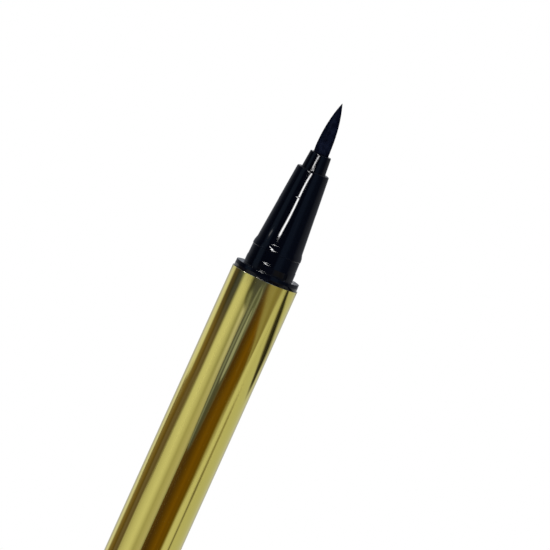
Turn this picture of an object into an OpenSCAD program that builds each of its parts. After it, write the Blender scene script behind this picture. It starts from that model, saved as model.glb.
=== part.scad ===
// Liquid eyeliner pen with a brush tip, its cap pushed onto the tail.
// The pen stands upright on the closed end of the cap, and its brush points up.
// All sizes are in millimetres, and the axis of the pen is the Z axis.

/* [Barrel] */
// Outside diameter of the gold barrel and of the gold cap
barrel_d = 10.6; // [10.2:0.1:12]
// Length of the gold barrel sleeve
barrel_len = 86.2; // [78:0.1:110]
// Wall of the two gold sleeves
sleeve_wall = 0.5; // [0.4:0.05:0.55]
// Rounding on the outer edges of the gold sleeves
sleeve_edge_r = 0.1; // [0.05:0.05:0.3]

/* [Front section] */
// Thickness of the black flange in front of the barrel
flange_t = 1.07; // [0.8:0.01:2]
// How far the rims of both black flanges stand in from the barrel
flange_step = 0.175; // [0.05:0.005:0.3]
// Rounding on the rims of both black flanges
flange_edge_r = 0.12; // [0.04:0.02:0.3]
// Diameter of the cap neck where it leaves its flange
neck_d = 7.95; // [7.86:0.01:8.1]
// Diameter of the neck's waist, before the snap bead
waist_d = 7.72; // [7.5:0.01:7.8]
// Height of the waist above the flange
waist_h = 2.4; // [1.8:0.1:2.8]
// Diameter over the snap bead
bead_d = 7.85; // [7.8:0.01:7.9]
// Height of the top of the snap bead above the flange
bead_h = 3.2; // [2.9:0.1:3.6]
// Diameter at the foot of the grip cone
cone_d = 7.31; // [7.1:0.01:7.6]
// Height of the foot of the grip cone above the flange
cone_h = 4.7; // [4.4:0.1:5.4]
// Diameter of the nose at the end of the grip cone
nose_d = 5.12; // [4.9:0.01:5.8]
// Length of the front section from its flange to the end of the nose
nose_len = 16.7; // [15.5:0.1:18]
// Rounding on the edge of the nose
nose_edge_r = 0.25; // [0.1:0.05:0.4]
// How far the front section reaches back into the barrel
skirt_len = 24.2; // [20:0.1:30]

/* [Ferrule and brush] */
// Diameter of the ferrule where it leaves the nose
ferrule_d = 3.84; // [3.6:0.01:4]
// Diameter of the ferrule at its mouth
ferrule_mouth_d = 3.35; // [3.1:0.01:3.5]
// Length of the ferrule outside the nose
ferrule_len = 2.7; // [2:0.1:4]
// Length of the ferrule's shank inside the nose
shank_len = 5.5; // [4.5:0.1:7]
// Diameter of the stop flange behind the ferrule's shank
stop_d = 4.5; // [4.2:0.05:4.7]
// Thickness of the stop flange behind the ferrule's shank
stop_t = 0.8; // [0.5:0.1:1.2]
// Rounding on the mouth of the ferrule
ferrule_edge_r = 0.15; // [0.05:0.05:0.25]
// Diameter of the brush where it leaves the ferrule
brush_d = 2.46; // [2.2:0.02:2.6]
// Length of the brush outside the ferrule
brush_len = 8.26; // [6:0.02:11]
// How far the point of the brush leans over to one side
brush_lean = 0.1; // [0:0.05:0.3]
// Depth of the brush's seat below the ferrule's mouth
brush_seat_depth = 3.5; // [2.5:0.1:4.5]
// Thickness of the fused slice that the strands grow from
brush_slice_t = 0.3; // [0.2:0.05:0.5]
// Rings of strands across the brush
strand_rings = 11; // [10:1:12]
// Diameter of the small tube that holds the brush from behind
holder_d = 3; // [2.8:0.05:3.3]
// Diameter of the felt feed rod
feed_d = 1.4; // [1.1:0.05:1.6]

/* [Collector] */
// Diameter over the comb fins
comb_d = 7.5; // [7:0.1:8]
// Diameter of the core between the fins
comb_core_d = 3.6; // [3.2:0.1:4.2]
// Length of the comb
comb_len = 21.5; // [18:0.5:22]
// Thickness of one fin
fin_t = 0.45; // [0.35:0.05:0.6]
// Gap between two fins
fin_gap = 0.5; // [0.4:0.05:0.8]
// Width of the ink slot cut along the comb
ink_slot_w = 0.4; // [0.3:0.05:0.6]
// Width of the air slot on the other side of the comb
air_slot_w = 1.6; // [1:0.1:2]
// Depth of the air slot in the fins
air_slot_depth = 0.7; // [0.4:0.1:1.2]
// Diameter of the stem between the comb and the tip
stem_d = 5.6; // [5.2:0.05:5.8]
// Height of the top of the stem above the front flange
stem_h = 6; // [5:0.1:7]
// Thickness of the collector's flange
collector_flange_t = 1; // [0.7:0.1:1.5]
// Length of the collector's plug in the tank
collector_plug_len = 3.2; // [2.6:0.1:5]
// Diameter of the collector's ink inlet
inlet_d = 3; // [2.6:0.1:3.6]
// Length of the collector's ink inlet
inlet_len = 2; // [1:0.1:4]
// Thickness of the seal ring's cord
seal_cord_d = 0.8; // [0.6:0.05:1]

/* [Ink tank and tail] */
// Wall of the ink tank
tank_wall = 1; // [0.7:0.05:1.2]
// Thickness of the flange on the tank's plug
tank_plug_flange_t = 0.8; // [0.5:0.1:1.5]
// Length of the tank's plug inside the tank
tank_plug_len = 4; // [3:0.1:6]
// Diameter of the mixing ball
ball_d = 4; // [3:0.1:5]
// Thickness of the tail's flange
tail_flange_t = 1; // [0.7:0.05:2]
// Length of the tail's neck, which the cap is pushed onto
tail_neck_len = 6; // [5.6:0.1:6.6]
// How far the tail plug reaches into the barrel
tail_plug_len = 5; // [3.5:0.1:8]
// Wall of the hollow tail plug
tail_wall = 1.2; // [0.9:0.1:1.5]

/* [Cap] */
// Length of the gold cap
cap_len = 43; // [42:0.5:50]
// Thickness of the closed end of the gold cap
cap_end_t = 0.5; // [0.4:0.05:0.8]
// Rounding around the closed end of the gold cap
cap_edge_r = 0.5; // [0.2:0.05:0.5]
// How far the lining stands back from the mouth of the cap
liner_recess = 0.15; // [0:0.05:0.3]
// Step in the lining that stops the inner cap
liner_step = 0.325; // [0.25:0.005:0.4]
// Distance from the snap bead to the snap rib behind it
rib_behind = 1; // [0.8:0.1:1.2]
// Length of the snap rib along the cap
rib_w = 0.8; // [0.5:0.05:1]
// Bore of the inner cap
inner_bore = 6.6; // [6.3:0.05:6.8]
// Wall of the inner cap
inner_wall = 0.5; // [0.4:0.05:0.6]
// Thickness of the closed end of the inner cap
inner_end_t = 0.8; // [0.5:0.1:1.2]
// Thickness of the inner cap's guide flange
guide_t = 1; // [0.6:0.1:1.5]
// Length of the soft seal ring on the inner cap's rim
seal_ring_len = 1; // [0.6:0.1:1.5]
// How far the inner cap is pushed back when the cap is on
seal_squeeze = 1; // [0.5:0.1:1.2]
// Free length in the inner cap beyond the point of the brush
tip_room = 1.5; // [1:0.1:3]

/* [Spring] */
// Thickness of the spring's wire
wire_d = 0.5; // [0.35:0.05:0.6]
// Diameter of the spring at the middle of its wire
spring_d = 5.6; // [5.4:0.05:6]
// Number of turns in the spring
spring_turns = 6; // [4:1:7]
// Thickness of the spring seat
seat_t = 2; // [1:0.1:3]
// Diameter of the pins that centre the spring
spring_pin_d = 4.4; // [4:0.05:4.6]
// Length of the pins that centre the spring
spring_pin_len = 1.5; // [1:0.1:2]

/* [Clearances] */
// Gap around a piece that is pushed into another and stays there
fit_gap = 0.05; // [0.03:0.01:0.06]
// Gap around a piece that slides in another
slide_gap = 0.06; // [0.05:0.01:0.08]
// Gap between the snap rib and the snap bead
snap_gap = 0.04; // [0.03:0.01:0.05]
// Gap between two pieces that meet end to end and move apart
end_gap = 0.1; // [0.05:0.01:0.2]

/* [Hidden] */
$fn = 96;

// How far a cut runs past the surface that it starts from
overrun = 0.2;
// Straight steps in a quarter of a round edge
arc_steps = 6;

// Radii of the gold sleeves and of what fills them
barrel_r = barrel_d / 2;
sleeve_bore_r = barrel_r - sleeve_wall;
sleeve_fill_r = sleeve_bore_r - fit_gap;
flange_r = barrel_r - flange_step;

// Heights along the pen, from the closed end of the cap up
tail_face_z = cap_len + end_gap;
barrel_z = tail_face_z + tail_flange_t;
barrel_top_z = barrel_z + barrel_len;
front_face_z = barrel_top_z + flange_t;
nose_z = front_face_z + nose_len;
mouth_z = nose_z + ferrule_len;
skirt_z = barrel_top_z - skirt_len;

// Ferrule and what is behind it
stop_top_z = nose_z - shank_len;
stop_z = stop_top_z - stop_t;
brush_seat_z = mouth_z - brush_seat_depth;
holder_bore_r = holder_d / 2 + fit_gap;
brush_bore_r = brush_d / 2 + slide_gap;
feed_bore_r = feed_d / 2 + fit_gap;

// Collector
collector_flange_z = skirt_z - collector_flange_t;
collector_plug_z = collector_flange_z - collector_plug_len;
inlet_z = collector_plug_z - inlet_len;
comb_top_z = skirt_z + comb_len;
stem_top_z = front_face_z + stem_h;
fin_pitch = fin_t + fin_gap;
fin_count = floor((comb_len - fin_t) / fin_pitch);

// Ink tank
tank_bore_r = sleeve_fill_r - tank_wall;
tank_plug_z = barrel_z + tail_plug_len;
tank_z = tank_plug_z + tank_plug_flange_t;
tank_floor_z = tank_z + tank_plug_len;
seal_r = tank_bore_r - seal_cord_d / 2 - fit_gap;
seal_groove_r = seal_r - seal_cord_d / 2 - fit_gap;
seal_groove_w = seal_cord_d + 2 * fit_gap;
seal_z = collector_plug_z + collector_plug_len / 2;

// Cap and inner cap
mouth_bore_r = neck_d / 2 + slide_gap;
wide_bore_r = mouth_bore_r + liner_step;
liner_top_z = cap_len - liner_recess;
rib_z = tail_face_z - bead_h - rib_behind;
rib_r = bead_d / 2 + snap_gap;
cone_slope = (cone_d - nose_d) / (nose_len - cone_h);
seal_depth = cone_h + (cone_d - inner_bore) / cone_slope;
inner_top_z = tail_face_z - seal_depth + seal_squeeze;
inner_depth = nose_len + ferrule_len + brush_len + tip_room - seal_depth;
inner_floor_z = inner_top_z - inner_depth;
inner_z = inner_floor_z - inner_end_t;
inner_rim_z = inner_top_z - seal_ring_len;
inner_bore_r = inner_bore / 2;
inner_r = inner_bore_r + inner_wall;
guide_top_z = inner_z + guide_t;
step_z = guide_top_z + slide_gap;
seat_top_z = cap_end_t + seat_t;

// Spring
spring_r = spring_d / 2;
spring_len = inner_z - seat_top_z;
rings_a_turn = 8;
wire_sides = 6;
spring_ring_count = spring_turns * rings_a_turn;

// Strands of the brush
strand_pitch = brush_d / 2 / strand_rings;
// Widths of a strand at the ferrule's mouth and half way up, as shares of its foot
strand_shares = [0.86, 0.7];
// How far up its free length a strand has its second ring
strand_middle_share = 0.55;
// Power that gives the brush its pointed outline
outline_power = 2.4;
// Power that draws the strands together towards the point
gather_power = 0.35;

// Points of a round edge about a centre, between two angles
function arc(centre, radius, from, to) = [
    for (i = [0 : arc_steps])
        let (angle = from + (to - from) * i / arc_steps)
            centre + radius * [cos(angle), sin(angle)]
];

// Soft step from one point to another, upright at both ends, with or without its first point
function soft_step(from, to, first) = [
    for (i = [first : arc_steps])
        let (angle = 180 * i / arc_steps)
            [from[0] + (to[0] - from[0]) * (1 - cos(angle)) / 2, from[1] + (to[1] - from[1]) * i / arc_steps]
];

// Outline of the cap neck, as radius and height above its flange
function neck_outline() = concat(
    [[neck_d / 2, 0]],
    soft_step([waist_d / 2, waist_h], [bead_d / 2, bead_h], 0),
    soft_step([bead_d / 2, bead_h], [cone_d / 2, cone_h], 1)
);

module turned(outline) {
    rotate_extrude() polygon(outline);
}

module barrel_sleeve() {
    edge = sleeve_edge_r;
    color([0.80, 0.66, 0.26])
        turned(concat(
            [[sleeve_bore_r, barrel_z]],
            arc([barrel_r - edge, barrel_z + edge], edge, -90, 0),
            arc([barrel_r - edge, barrel_top_z - edge], edge, 0, 90),
            [[sleeve_bore_r, barrel_top_z]]
        ));
}

// Black end of the barrel: a flange, a neck for the cap and a hollow plug
module tail_plug() {
    edge = flange_edge_r;
    neck = [for (p = neck_outline()) [p[0], tail_face_z - p[1]]];
    end_r = cone_d / 2 - nose_edge_r;
    end_z = tail_face_z - tail_neck_len;
    hollow_r = cone_d / 2 - tail_wall;
    color([0.06, 0.06, 0.08])
        turned(concat(
            [[0, end_z]],
            arc([end_r, end_z + nose_edge_r], nose_edge_r, -90, 0),
            [for (i = [len(neck) - 1 : -1 : 0]) neck[i]],
            arc([flange_r - edge, tail_face_z + edge], edge, -90, 0),
            [
                [flange_r, barrel_z],
                [sleeve_fill_r, barrel_z],
                [sleeve_fill_r, tank_plug_z],
                [hollow_r, tank_plug_z],
                [hollow_r, end_z + tail_wall],
                [0, end_z + tail_wall]
            ]
        ));
}

module ink_tank() {
    color([0.88, 0.89, 0.90])
        turned([
            [tank_bore_r, tank_z],
            [sleeve_fill_r, tank_z],
            [sleeve_fill_r, collector_flange_z],
            [tank_bore_r, collector_flange_z]
        ]);
}

module tank_plug() {
    plug_r = tank_bore_r - fit_gap;
    color([0.75, 0.77, 0.80])
        turned([
            [0, tank_plug_z],
            [sleeve_fill_r, tank_plug_z],
            [sleeve_fill_r, tank_z],
            [plug_r, tank_z],
            [plug_r, tank_floor_z],
            [0, tank_floor_z]
        ]);
}

// Fins and gaps of the comb, from its foot up
function comb_outline() = [
    for (i = [0 : fin_count - 1])
        let (gap_z = skirt_z + fin_t + i * fin_pitch)
            each [
                [comb_d / 2, gap_z],
                [comb_core_d / 2, gap_z],
                [comb_core_d / 2, gap_z + fin_gap],
                [comb_d / 2, gap_z + fin_gap]
            ]
];

module collector() {
    plug_r = tank_bore_r - fit_gap;
    tip_r = stop_d / 2;
    color([0.82, 0.84, 0.86])
        difference() {
            turned(concat(
                [
                    [feed_bore_r, inlet_z],
                    [inlet_d / 2, inlet_z],
                    [inlet_d / 2, collector_plug_z],
                    [plug_r, collector_plug_z],
                    [plug_r, seal_z - seal_groove_w / 2],
                    [seal_groove_r, seal_z - seal_groove_w / 2],
                    [seal_groove_r, seal_z + seal_groove_w / 2],
                    [plug_r, seal_z + seal_groove_w / 2],
                    [plug_r, collector_flange_z],
                    [sleeve_fill_r, collector_flange_z],
                    [sleeve_fill_r, skirt_z],
                    [comb_d / 2, skirt_z]
                ],
                comb_outline(),
                [
                    [comb_d / 2, comb_top_z],
                    [stem_d / 2, comb_top_z],
                    [stem_d / 2, stem_top_z],
                    [tip_r, stem_top_z],
                    [tip_r, stop_z],
                    [feed_bore_r, stop_z]
                ]
            ));
            ink_slot();
            air_slot();
        }
}

// Narrow slot that lets ink from the feed rod into the gaps of the comb
module ink_slot() {
    foot_z = skirt_z + fin_t;
    translate([0, -ink_slot_w / 2, foot_z])
        cube([comb_d / 2 + overrun, ink_slot_w, comb_len - 2 * fin_t]);
}

// Shallow slot in the fins that lets air back to the tank
module air_slot() {
    foot_z = skirt_z + fin_t;
    translate([-comb_d / 2 - overrun, -air_slot_w / 2, foot_z])
        cube([air_slot_depth + overrun, air_slot_w, comb_len - 2 * fin_t]);
}

module collector_seal() {
    color([0.15, 0.15, 0.16])
        rotate_extrude()
            translate([seal_r, seal_z])
                circle(d = seal_cord_d);
}

module feed_rod() {
    color([0.20, 0.20, 0.24])
        translate([0, 0, inlet_z])
            cylinder(d = feed_d, h = brush_seat_z - inlet_z);
}

// Black grip: flange, neck, snap bead and cone outside, and a stepped bore inside
module front_section() {
    edge = flange_edge_r;
    nose_r = nose_d / 2 - nose_edge_r;
    stem_bore_r = stem_d / 2 + fit_gap;
    comb_bore_r = comb_d / 2 + fit_gap;
    stop_bore_r = stop_d / 2 + fit_gap;
    shank_bore_r = ferrule_d / 2 + fit_gap;
    color([0.05, 0.05, 0.08])
        turned(concat(
            [
                [comb_bore_r, skirt_z],
                [sleeve_fill_r, skirt_z],
                [sleeve_fill_r, barrel_top_z],
                [flange_r, barrel_top_z]
            ],
            arc([flange_r - edge, front_face_z - edge], edge, 0, 90),
            [for (p = neck_outline()) [p[0], front_face_z + p[1]]],
            arc([nose_r, nose_z - nose_edge_r], nose_edge_r, 0, 90),
            [
                [shank_bore_r, nose_z],
                [shank_bore_r, stop_top_z],
                [stop_bore_r, stop_top_z],
                [stop_bore_r, stem_top_z + fit_gap],
                [stem_bore_r, stem_top_z + fit_gap],
                [stem_bore_r, comb_top_z + fit_gap],
                [comb_bore_r, comb_top_z + fit_gap]
            ]
        ));
}

module brush_ferrule() {
    edge = ferrule_edge_r;
    mouth_r = ferrule_mouth_d / 2 - edge;
    color([0.05, 0.05, 0.08])
        turned(concat(
            [
                [holder_bore_r, stop_z],
                [stop_d / 2, stop_z],
                [stop_d / 2, stop_top_z],
                [ferrule_d / 2, stop_top_z],
                [ferrule_d / 2, nose_z]
            ],
            arc([mouth_r, mouth_z - edge], edge, 0, 90),
            [
                [brush_bore_r, mouth_z],
                [brush_bore_r, brush_seat_z],
                [holder_bore_r, brush_seat_z]
            ]
        ));
}

// Tube behind the brush, round the end of the feed rod
module brush_holder() {
    color([0.25, 0.25, 0.28])
        turned([
            [feed_bore_r, stop_z],
            [holder_d / 2, stop_z],
            [holder_d / 2, brush_seat_z],
            [feed_bore_r, brush_seat_z]
        ]);
}

// The strands stand on a disc whose top is a net of small triangles, in rings about its centre.
// Each ring has six sectors. Every other triangle of the net is the foot of a strand.
function ring_start(ring) = ring == 0 ? 0 : 1 + 3 * ring * (ring - 1);
function net_index(ring, step) = ring == 0 ? 0 : ring_start(ring) + step % (6 * ring);
net_count = ring_start(strand_rings + 1);

net_points = [
    [0, 0],
    for (ring = [1 : strand_rings])
        for (step = [0 : 6 * ring - 1])
            ring * strand_pitch * [cos(60 * step / ring), sin(60 * step / ring)]
];

// Triangles of the net with their base outwards and with their base inwards
function outward(sector, ring) = [
    for (j = [0 : ring - 1])
        [
            net_index(ring - 1, sector * (ring - 1) + j),
            net_index(ring, sector * ring + j),
            net_index(ring, sector * ring + j + 1)
        ]
];
function inward(sector, ring) = [
    for (j = [0 : 1 : ring - 2])
        [
            net_index(ring - 1, sector * (ring - 1) + j),
            net_index(ring, sector * ring + j + 1),
            net_index(ring - 1, sector * (ring - 1) + j + 1)
        ]
];

strand_feet = [
    for (ring = [1 : strand_rings])
        for (sector = [0 : 5])
            each sector % 2 == 0 ? outward(sector, ring) : inward(sector, ring)
];
net_gaps = [
    for (ring = [1 : strand_rings])
        for (sector = [0 : 5])
            each sector % 2 == 0 ? inward(sector, ring) : outward(sector, ring)
];

// Radius of the brush's outline at a height above the ferrule, as a share of its foot
function outline_share(height) = 1 - pow(max(height, 0) / brush_len, outline_power);
function gather_share(height) = pow(max(outline_share(height), 0), gather_power);
function lean(height) = [-brush_lean * pow(max(height, 0) / brush_len, 2), 0];

// Height at which a strand that starts at a given radius meets the outline
function strand_height(radius) =
    brush_len * pow(1 - pow(radius / (brush_d / 2), 1 / (1 - gather_power)), 1 / outline_power);

function middle(foot) = (net_points[foot[0]] + net_points[foot[1]] + net_points[foot[2]]) / 3;

// Three points round a strand, at a height above the ferrule's mouth
function strand_ring(foot, height, share) =
    let (centre = middle(foot), drawn = gather_share(height), side = lean(height))
        [
            for (i = foot)
                let (p = centre * drawn + (net_points[i] - centre) * drawn * share + side)
                    [p[0], p[1], mouth_z + height]
        ];

function strand_points(foot) =
    let (centre = middle(foot), top = strand_height(norm(centre)))
        let (point = centre * gather_share(top) + lean(top))
            concat(
                strand_ring(foot, 0, strand_shares[0]),
                strand_ring(foot, top * strand_middle_share, strand_shares[1]),
                [[point[0], point[1], mouth_z + top]]
            );

points_a_strand = 7;

// Faces of one strand, from the three points of its foot up to its point
function strand_faces(foot, first) =
    let (levels = [foot, [first, first + 1, first + 2], [first + 3, first + 4, first + 5]])
        concat(
            [
                for (level = [0 : 1])
                    for (i = [0 : 2])
                        let (k = (i + 1) % 3, low = levels[level], high = levels[level + 1])
                            each [[low[k], low[i], high[i]], [low[k], high[i], high[k]]]
            ],
            [
                for (i = [0 : 2])
                    [levels[2][(i + 1) % 3], levels[2][i], first + points_a_strand - 1]
            ]
        );

module brush() {
    slice_z = brush_seat_z + brush_slice_t;
    rim_start = ring_start(strand_rings);
    rim_count = 6 * strand_rings;
    under_start = net_count;
    under_middle = net_count + rim_count;
    strand_start = under_middle + 1;
    points = concat(
        [for (p = net_points) [p[0], p[1], slice_z]],
        [
            for (i = [rim_start : net_count - 1])
                [net_points[i][0], net_points[i][1], brush_seat_z]
        ],
        [[0, 0, brush_seat_z]],
        [for (foot = strand_feet) each strand_points(foot)]
    );
    faces = concat(
        [for (t = net_gaps) [t[2], t[1], t[0]]],
        [
            for (i = [0 : rim_count - 1])
                let (k = (i + 1) % rim_count)
                    each [
                        [rim_start + i, rim_start + k, under_start + k],
                        [rim_start + i, under_start + k, under_start + i],
                        [under_middle, under_start + i, under_start + k]
                    ]
        ],
        [
            for (s = [0 : len(strand_feet) - 1])
                each strand_faces(strand_feet[s], strand_start + s * points_a_strand)
        ]
    );
    color([0.04, 0.04, 0.07])
        polyhedron(points, faces);
}

module mixing_ball() {
    color([0.75, 0.76, 0.78])
        translate([0, 0, tank_floor_z + fit_gap + ball_d / 2])
            sphere(d = ball_d);
}

module cap_sleeve() {
    edge = sleeve_edge_r;
    color([0.80, 0.66, 0.26])
        turned(concat(
            [[0, 0]],
            arc([barrel_r - cap_edge_r, cap_edge_r], cap_edge_r, -90, 0),
            arc([barrel_r - edge, cap_len - edge], edge, 0, 90),
            [
                [sleeve_bore_r, cap_len],
                [sleeve_bore_r, cap_end_t],
                [0, cap_end_t]
            ]
        ));
}

// Black lining: a bore for the neck, a snap rib, and a wider bore for the inner cap
module cap_liner() {
    color([0.06, 0.06, 0.08])
        turned([
            [wide_bore_r, cap_end_t],
            [sleeve_fill_r, cap_end_t],
            [sleeve_fill_r, liner_top_z],
            [mouth_bore_r, liner_top_z],
            [mouth_bore_r, rib_z + rib_w / 2],
            [rib_r, rib_z],
            [mouth_bore_r, rib_z - rib_w / 2],
            [mouth_bore_r, step_z],
            [wide_bore_r, step_z]
        ]);
}

module spring_seat() {
    seat_r = wide_bore_r - fit_gap;
    color([0.85, 0.85, 0.86])
        translate([0, 0, cap_end_t]) {
            cylinder(r = seat_r, h = seat_t);
            cylinder(d = spring_pin_d, h = seat_t + spring_pin_len);
        }
}

// Middle line of the spring's wire, which touches the seat and the inner cap
function wire_centre(ring) =
    let (angle = 360 * ring / rings_a_turn, rise = spring_len - wire_d)
        [
            spring_r * cos(angle),
            spring_r * sin(angle),
            seat_top_z + wire_d / 2 + rise * ring / spring_ring_count
        ];

wire_centres = [for (ring = [0 : spring_ring_count]) wire_centre(ring)];

// Least gap between two turns, measured between points a whole turn or nearly so apart
spring_gap = min([
    for (i = [0 : spring_ring_count])
        for (j = [i + rings_a_turn / 2 : 1 : spring_ring_count])
            norm(wire_centres[j] - wire_centres[i])
]) - wire_d;

function wire_ring(ring) =
    let (angle = 360 * ring / rings_a_turn)
        [
            for (side = [0 : wire_sides - 1])
                let (turn = 360 * side / wire_sides, out = wire_d / 2 * cos(turn))
                    wire_centres[ring]
                    + [out * cos(angle), out * sin(angle), wire_d / 2 * sin(turn)]
        ];

module inner_cap_spring() {
    points = [for (ring = [0 : spring_ring_count]) each wire_ring(ring)];
    last = spring_ring_count * wire_sides;
    walls = [
        for (ring = [0 : spring_ring_count - 1])
            for (side = [0 : wire_sides - 1])
                let (
                    a = ring * wire_sides + side,
                    b = ring * wire_sides + (side + 1) % wire_sides,
                    c = a + wire_sides,
                    d = b + wire_sides
                )
                    each [[a, b, d], [a, d, c]]
    ];
    first_end = [for (side = [1 : wire_sides - 2]) [0, side + 1, side]];
    last_end = [for (side = [1 : wire_sides - 2]) [last, last + side, last + side + 1]];
    echo(str("least gap between the spring's turns: ", spring_gap, " mm"));
    color([0.70, 0.71, 0.73])
        polyhedron(points, concat(walls, first_end, last_end));
}

// Sprung cup that closes round the grip when the cap is on the pen
module inner_cap() {
    guide_r = wide_bore_r - slide_gap;
    color([0.90, 0.90, 0.91])
        turned([
            [0, inner_z - spring_pin_len],
            [spring_pin_d / 2, inner_z - spring_pin_len],
            [spring_pin_d / 2, inner_z],
            [guide_r, inner_z],
            [guide_r, guide_top_z],
            [inner_r, guide_top_z],
            [inner_r, inner_rim_z],
            [inner_bore_r, inner_rim_z],
            [inner_bore_r, inner_floor_z],
            [0, inner_floor_z]
        ]);
}

// Soft ring with a rounded lip
module inner_cap_seal() {
    lip_r = inner_wall / 2;
    color([0.60, 0.60, 0.62])
        turned(concat(
            [
                [inner_bore_r, inner_rim_z],
                [inner_r, inner_rim_z]
            ],
            arc([inner_bore_r + lip_r, inner_top_z - lip_r], lip_r, 0, 180)
        ));
}

barrel_sleeve();
tail_plug();
ink_tank();
tank_plug();
collector();
collector_seal();
feed_rod();
front_section();
brush_ferrule();
brush_holder();
brush();
mixing_ball();
cap_sleeve();
cap_liner();
spring_seat();
inner_cap_spring();
inner_cap();
inner_cap_seal();
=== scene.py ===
# Liquid eyeliner pen with its cap posted on the tail: mirror-gold sleeves, glossy black grip, wet brush.
# Sizes in the dictionaries are millimetres. Heights along the pen come from the frame.
import math
import random

import bpy
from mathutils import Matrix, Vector


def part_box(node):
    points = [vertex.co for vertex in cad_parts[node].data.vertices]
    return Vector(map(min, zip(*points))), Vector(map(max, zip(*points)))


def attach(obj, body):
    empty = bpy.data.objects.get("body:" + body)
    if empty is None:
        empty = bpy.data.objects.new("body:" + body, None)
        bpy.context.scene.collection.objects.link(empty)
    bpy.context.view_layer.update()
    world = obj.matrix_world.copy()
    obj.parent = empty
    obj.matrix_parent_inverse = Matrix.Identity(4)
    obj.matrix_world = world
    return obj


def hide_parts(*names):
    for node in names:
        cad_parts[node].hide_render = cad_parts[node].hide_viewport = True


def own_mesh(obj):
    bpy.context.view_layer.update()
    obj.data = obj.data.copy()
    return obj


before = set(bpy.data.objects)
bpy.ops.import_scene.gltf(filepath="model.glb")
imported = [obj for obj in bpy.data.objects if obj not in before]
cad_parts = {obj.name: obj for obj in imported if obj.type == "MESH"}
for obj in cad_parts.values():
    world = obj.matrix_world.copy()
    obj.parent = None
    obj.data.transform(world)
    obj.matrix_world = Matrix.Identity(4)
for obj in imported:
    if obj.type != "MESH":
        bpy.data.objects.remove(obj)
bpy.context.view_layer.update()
scene = bpy.context.scene
scene.view_settings.view_transform = "Standard"
mm = 0.001


def lowEnd(node):
    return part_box(node)[0].z / mm


def highEnd(node):
    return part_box(node)[1].z / mm


def clearSelection():
    if bpy.context.object and bpy.context.object.mode != "OBJECT":
        bpy.ops.object.mode_set(mode="OBJECT")
    bpy.ops.object.select_all(action="DESELECT")


# camera at the photograph's angle: a long lens from a little above, rolled so that the pen leans
cameraPlace = dict(elevation=5.4, roll=24.27, distance=1200, frameWidth=82.58, aim=(1.16, 0, 131.32),
                   clipEnd=20)


def placeCamera():
    back = math.radians(cameraPlace["elevation"])
    away = Vector((0, -math.cos(back), math.sin(back))) * cameraPlace["distance"]
    bpy.ops.object.camera_add(location=(Vector(cameraPlace["aim"]) + away) * mm)
    camera = bpy.context.object
    camera.rotation_mode = "ZXY"
    camera.rotation_euler = (math.pi / 2 - back, 0, math.radians(cameraPlace["roll"]))
    camera.data.lens = camera.data.sensor_width * cameraPlace["distance"] / cameraPlace["frameWidth"]
    camera.data.clip_end = cameraPlace["clipEnd"]
    scene.camera = camera


clearSelection()
placeCamera()
print("camera placed")


# outlines: closed rings of (radius, height, rounding), drawn point by point and spun round the pen's axis
# hold is the distance from a corner at which a ring keeps the flat beside it flat, and seam is in metres
turning = dict(steps=176, arcSteps=5, hold=0.06, seam=1e-7, smoothAngle=32)


def roundCorners(corners):
    points = []
    hold, arcSteps = turning["hold"], turning["arcSteps"]
    for i, (radius, height, bend) in enumerate(corners):
        here = Vector((radius, height))
        before = Vector(corners[i - 1][:2]) - here
        after = Vector(corners[(i + 1) % len(corners)][:2]) - here
        if not bend:
            points.append(here)
            continue
        half = before.angle(after) / 2
        reach = bend / math.tan(half)
        toBefore, toAfter = before.normalized(), after.normalized()
        centre = here + (toBefore + toAfter).normalized() * bend / math.sin(half)
        start, end = here + toBefore * reach - centre, here + toAfter * reach - centre
        sweep = start.angle(end)
        if before.length > reach + 4 * hold:
            points.append(centre + start + toBefore * hold)
        for k in range(arcSteps + 1):
            share = k / arcSteps
            spoke = start * math.sin((1 - share) * sweep) + end * math.sin(share * sweep)
            points.append(centre + spoke / math.sin(sweep))
        if after.length > reach + 4 * hold:
            points.append(centre + end + toAfter * hold)
    return points


def turnPiece(name, points, steps=turning["steps"]):
    clearSelection()
    bpy.ops.mesh.primitive_plane_add(size=mm)
    piece = bpy.context.object
    piece.name = piece.data.name = name
    bpy.ops.object.mode_set(mode="EDIT")
    bpy.ops.mesh.select_mode(type="VERT")
    bpy.ops.mesh.select_all(action="SELECT")
    bpy.ops.mesh.merge(type="CENTER")
    ring = [Vector((p[0], 0, p[1])) * mm for p in points]
    bpy.ops.transform.translate(value=ring[0])
    for here, there in zip(ring, ring[1:] + ring[:1]):
        if (there - here).length > turning["seam"]:
            bpy.ops.mesh.extrude_region_move(TRANSFORM_OT_translate={"value": there - here})
    bpy.ops.mesh.select_all(action="SELECT")
    bpy.ops.mesh.spin(steps=steps, angle=2 * math.pi, center=(0, 0, 0), axis=(0, 0, 1))
    closeUp(piece)
    bpy.ops.object.shade_smooth_by_angle(angle=math.radians(turning["smoothAngle"]))
    return piece


# merges seams and poles and points the faces outwards
def closeUp(piece):
    bpy.ops.mesh.select_all(action="SELECT")
    bpy.ops.mesh.remove_doubles(threshold=turning["seam"])
    bpy.ops.mesh.delete_loose()
    bpy.ops.mesh.select_all(action="SELECT")
    bpy.ops.mesh.normals_make_consistent(inside=False)
    bpy.ops.object.mode_set(mode="OBJECT")


def finishPiece(piece, body, slot, material, *nodes):
    piece.data.materials.clear()
    piece.data.materials.append(material)
    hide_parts(*nodes)
    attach(piece, body)


# nodes of the materials: a value that is a socket is linked, and any other is set
def setInputs(tree, node, values):
    for key, value in values.items():
        if isinstance(value, bpy.types.NodeSocket):
            tree.links.new(value, node.inputs[key])
        else:
            node.inputs[key].default_value = value


def addNode(tree, kind, values=None, **settings):
    node = tree.nodes.new("ShaderNode" + kind)
    for key, value in settings.items():
        setattr(node, key, value)
    setInputs(tree, node, values or {})
    return node


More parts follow.
